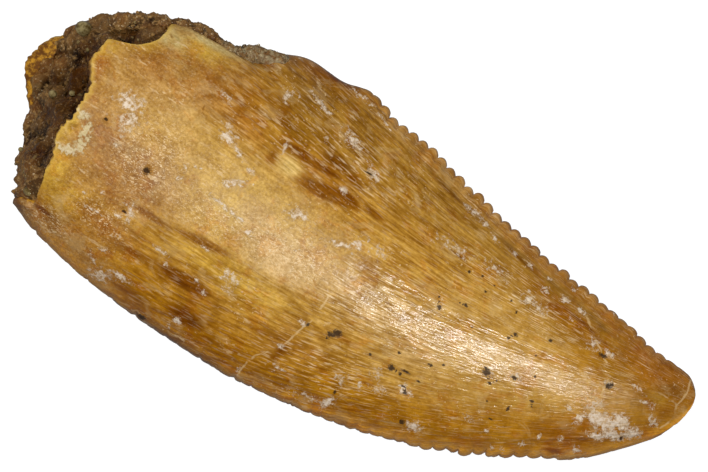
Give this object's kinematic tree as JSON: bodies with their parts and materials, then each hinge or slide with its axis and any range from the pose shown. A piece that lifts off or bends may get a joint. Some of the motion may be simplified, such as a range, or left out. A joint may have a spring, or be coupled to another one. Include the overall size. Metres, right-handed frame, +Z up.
{
  "type": "fossil raptor tooth",
  "caption": "Recurved, laterally flattened fossil theropod tooth crown with two serrated edges, a broken hollow base filled with sandstone and a worn tip.",
  "frame": {"origin": "below the middle of the tooth, on the surface that it rests on", "axes": "+X from the broken base to the tip, +Y to the back edge with the coarse denticles, +Z up out of the face that shows"},
  "size_m": [0.02, 0.0086, 0.0047],
  "materials": {
    "enamel": "glossy amber fossil enamel, cream in the middle, finely striated",
    "sandstone": "rough dark brown cemented sand with small glossy grains"
  },
  "bodies": {
    "root": {"tooth_crown": "enamel", "matrix_plug": "sandstone"}
  },
  "joints": []
}
